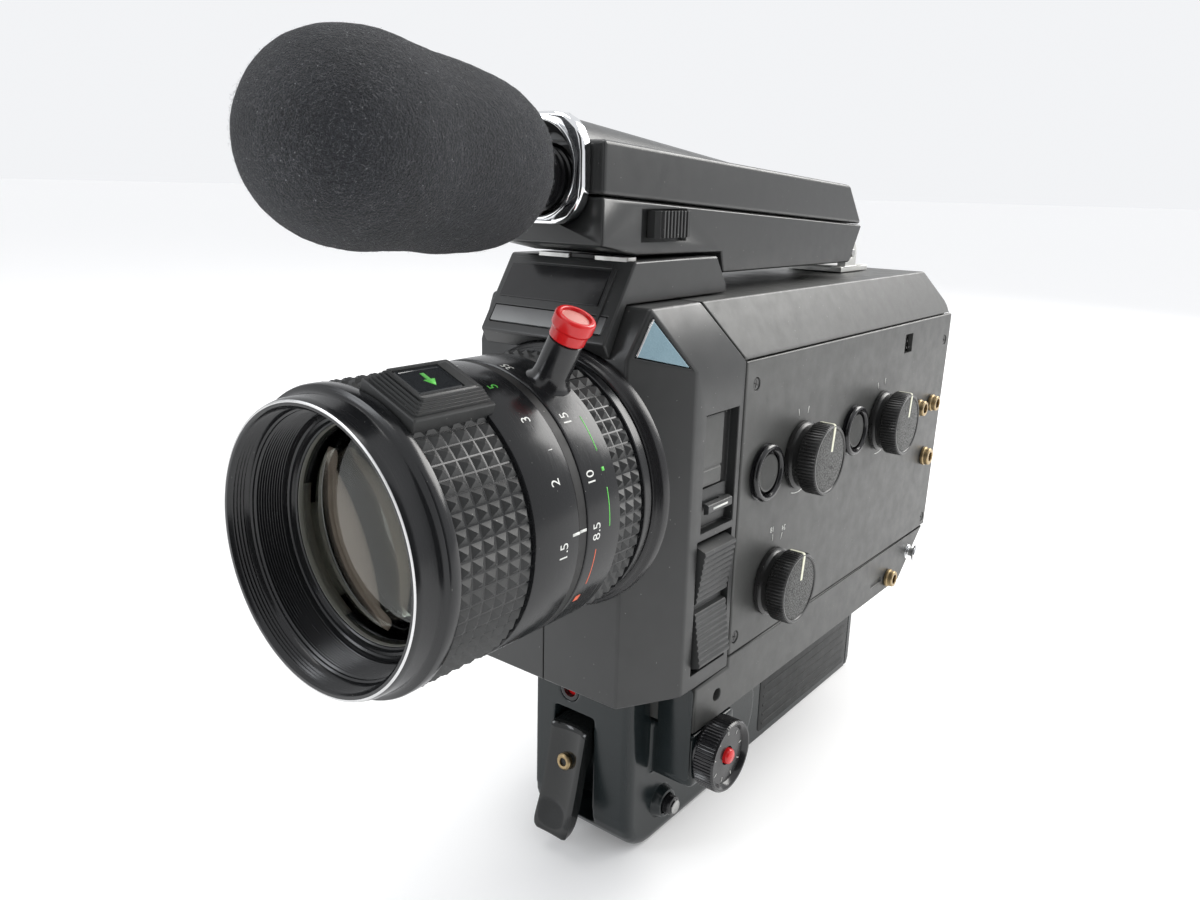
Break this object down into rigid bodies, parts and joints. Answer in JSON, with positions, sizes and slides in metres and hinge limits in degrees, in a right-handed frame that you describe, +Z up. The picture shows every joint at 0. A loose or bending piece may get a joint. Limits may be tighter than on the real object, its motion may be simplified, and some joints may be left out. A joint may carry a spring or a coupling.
{
  "type": "cine camera",
  "caption": "Sound cine camera: zoom lens in a chamfered housing, flat body with side controls, microphone boom with foam windscreen, folding grip with trigger.",
  "frame": {"origin": "underside of the grip head, at the tripod seat; the folded handle rests on the same plane", "axes": "-Y along the lens towards the subject, +Z up, +X towards the side with the controls"},
  "size_m": [0.0794, 0.3056, 0.2183],
  "materials": {
    "black_paint": "satin black paint",
    "satin_panel": "satin dark grey paint",
    "gloss_black": "glossy black",
    "lens_black": "black anodised, satin",
    "grip_plastic": "semi-gloss dark plastic",
    "rubber": "matte",
    "foam": "open-cell foam",
    "chrome": "bright",
    "steel": "turned",
    "brass": "turned",
    "aluminium": "satin",
    "red_plastic": "glossy red",
    "frosted_window": "frosted blue-grey window",
    "smoked_window": "smoked window",
    "glass": "coated glass"
  },
  "bodies": {
    "chassis": {"main_body": "black_paint", "front_housing_left": "black_paint", "front_housing_right": "black_paint", "side_panel": "satin_panel", "rear_cover": "black_paint", "nameplate_block": "black_paint", "strip_window": "smoked_window", "corner_window": "frosted_window", "lens_collar": "lens_black", "lens_barrel": "lens_black", "rear_lens_group": "lens_black", "film_gate": "steel", "drive_motor": "steel", "zoom_motor": "steel", "eyepiece_tube": "gloss_black", "exposure_lock_bezel": "gloss_black", "fade_bezel": "gloss_black", "microphone_jack": "brass", "earphone_jack": "brass", "remote_jack": "brass", "base_jack": "brass", "boom_bracket": "aluminium", "boom_pin": "steel", "grip_head": "grip_plastic", "grip_pin": "steel"},
    "focus_group": {"focus_ring": "lens_black", "front_lens_cell": "lens_black", "front_element": "glass", "focus_lock_housing": "gloss_black"},
    "focus_lock": {"focus_lock_button": "gloss_black"},
    "zoom_group": {"zoom_ring": "lens_black", "zoom_lever": "gloss_black", "zoom_lever_cap": "red_plastic"},
    "zoom_drive": {"zoom_drive_wheel": "brass"},
    "shutter": {"shutter_disc": "lens_black"},
    "take_up": {"take_up_spindle": "gloss_black"},
    "door": {"film_door": "satin_panel", "film_window": "smoked_window"},
    "latch": {"door_latch": "gloss_black"},
    "eyepiece": {"eyepiece_ring": "gloss_black", "eyecup": "rubber"},
    "exposure_selector": {"exposure_knob": "gloss_black"},
    "sound_selector": {"sound_knob": "gloss_black"},
    "speed_selector": {"speed_knob": "gloss_black"},
    "exposure_lock": {"exposure_lock_button": "satin_panel"},
    "fade": {"fade_button": "satin_panel"},
    "zoom_speed": {"zoom_speed_slider": "gloss_black"},
    "zoom_switch": {"zoom_rocker": "gloss_black"},
    "boom": {"boom_lower": "black_paint", "boom_cover": "black_paint", "boom_bezel": "chrome"},
    "boom_slide_switch": {"boom_switch": "gloss_black"},
    "mic": {"microphone": "lens_black", "windscreen": "foam"},
    "trigger_body": {"trigger": "gloss_black"},
    "dial": {"mode_dial": "gloss_black"},
    "dial_push": {"dial_button": "red_plastic"},
    "release": {"grip_release_button": "gloss_black"},
    "handle": {"grip_handle": "grip_plastic"},
    "battery_door": {"battery_cover": "grip_plastic"}
  },
  "joints": [
    {"name": "focus_turn", "type": "hinge", "parent": "chassis", "child": "focus_group", "pos_m": [0.004, -0.125, 0.118], "axis": [0, 1, 0], "range_deg": [-40, 160]},
    {"name": "focus_lock_press", "type": "slide", "parent": "focus_group", "child": "focus_lock", "axis": [-0.3827, 0, -0.9239], "range_m": [0, 0.0011], "stiffness_N_per_m": 400},
    {"name": "zoom_turn", "type": "hinge", "parent": "chassis", "child": "zoom_group", "pos_m": [0.004, -0.07, 0.118], "axis": [0, 1, 0], "range_deg": [-50, 60]},
    {"name": "zoom_drive_turn", "type": "hinge", "parent": "chassis", "child": "zoom_drive", "pos_m": [0.004, -0.0645, 0.0909], "axis": [0, 1, 0], "range_deg": [-432, 518]},
    {"name": "shutter_spin", "type": "hinge", "parent": "chassis", "child": "shutter", "pos_m": [0.004, -0.012, 0.098], "axis": [0, 1, 0], "continuous": true},
    {"name": "take_up_spin", "type": "hinge", "parent": "chassis", "child": "take_up", "pos_m": [0.0167, 0.06, 0.1], "axis": [-1, 0, 0], "continuous": true},
    {"name": "door_swing", "type": "hinge", "parent": "chassis", "child": "door", "pos_m": [-0.0338, 0.0002, 0.101], "axis": [0, 0, 1], "range_deg": [0, 110]},
    {"name": "door_latch_slide", "type": "slide", "parent": "chassis", "child": "latch", "axis": [0, 1, 0], "range_m": [0, 0.004], "stiffness_N_per_m": 200},
    {"name": "eyepiece_turn", "type": "hinge", "parent": "chassis", "child": "eyepiece", "pos_m": [-0.006, 0.156, 0.132], "axis": [0, 1, 0], "range_deg": [-60, 60]},
    {"name": "exposure_turn", "type": "hinge", "parent": "chassis", "child": "exposure_selector", "pos_m": [0.0338, 0.0276, 0.1135], "axis": [1, 0, 0], "range_deg": [-120, 120]},
    {"name": "sound_turn", "type": "hinge", "parent": "chassis", "child": "sound_selector", "pos_m": [0.0338, 0.0882, 0.1138], "axis": [1, 0, 0], "range_deg": [-90, 90]},
    {"name": "speed_turn", "type": "hinge", "parent": "chassis", "child": "speed_selector", "pos_m": [0.0338, 0.0142, 0.077], "axis": [1, 0, 0], "range_deg": [-90, 90]},
    {"name": "exposure_lock_press", "type": "slide", "parent": "chassis", "child": "exposure_lock", "axis": [-1, 0, 0], "range_m": [0, 0.0012], "stiffness_N_per_m": 400},
    {"name": "fade_press", "type": "slide", "parent": "chassis", "child": "fade", "axis": [-1, 0, 0], "range_m": [0, 0.0012], "stiffness_N_per_m": 400},
    {"name": "zoom_speed_slide", "type": "slide", "parent": "chassis", "child": "zoom_speed", "axis": [0, 0, 1], "range_m": [-0.0006, 0.0195]},
    {"name": "zoom_rocker_rock", "type": "hinge", "parent": "chassis", "child": "zoom_switch", "pos_m": [0.0312, -0.0195, 0.0813], "axis": [0, 1, 0], "range_deg": [-5, 5], "stiffness_Nm_per_rad": 0.2},
    {"name": "boom_tilt", "type": "hinge", "parent": "chassis", "child": "boom", "pos_m": [-0.001, 0.107, 0.169], "axis": [-1, 0, 0], "range_deg": [0, 60]},
    {"name": "boom_switch_slide", "type": "slide", "parent": "boom", "child": "boom_slide_switch", "axis": [0, -1, 0], "range_m": [0, 0.0035]},
    {"name": "mic_slide", "type": "slide", "parent": "boom", "child": "mic", "axis": [0, -0.9945, 0.1045], "range_m": [-0.005, 0.07]},
    {"name": "trigger_pull", "type": "hinge", "parent": "chassis", "child": "trigger_body", "pos_m": [-0.001, -0.0295, 0.0365], "axis": [1, 0, 0], "range_deg": [0, 8], "stiffness_Nm_per_rad": 0.3},
    {"name": "mode_dial_turn", "type": "hinge", "parent": "chassis", "child": "dial", "pos_m": [0.0341, -0.0173, 0.0355], "axis": [1, 0, 0], "range_deg": [-90, 90]},
    {"name": "dial_button_press", "type": "slide", "parent": "chassis", "child": "dial_push", "axis": [-1, 0, 0], "range_m": [0, 0.0015], "stiffness_N_per_m": 400},
    {"name": "grip_release_press", "type": "slide", "parent": "chassis", "child": "release", "axis": [-1, 0, 0], "range_m": [0, 0.0035], "stiffness_N_per_m": 400},
    {"name": "handle_fold", "type": "hinge", "parent": "chassis", "child": "handle", "pos_m": [0, 0.021, 0.01975], "axis": [-1, 0, 0], "range_deg": [0, 90]},
    {"name": "battery_cover_pull", "type": "slide", "parent": "handle", "child": "battery_door", "axis": [0, 1, 0], "range_m": [0, 0.02]}
  ],
  "couplings": [
    {"joint": "zoom_drive_turn", "follows": "zoom_turn", "ratio": 8.6111}
  ]
}
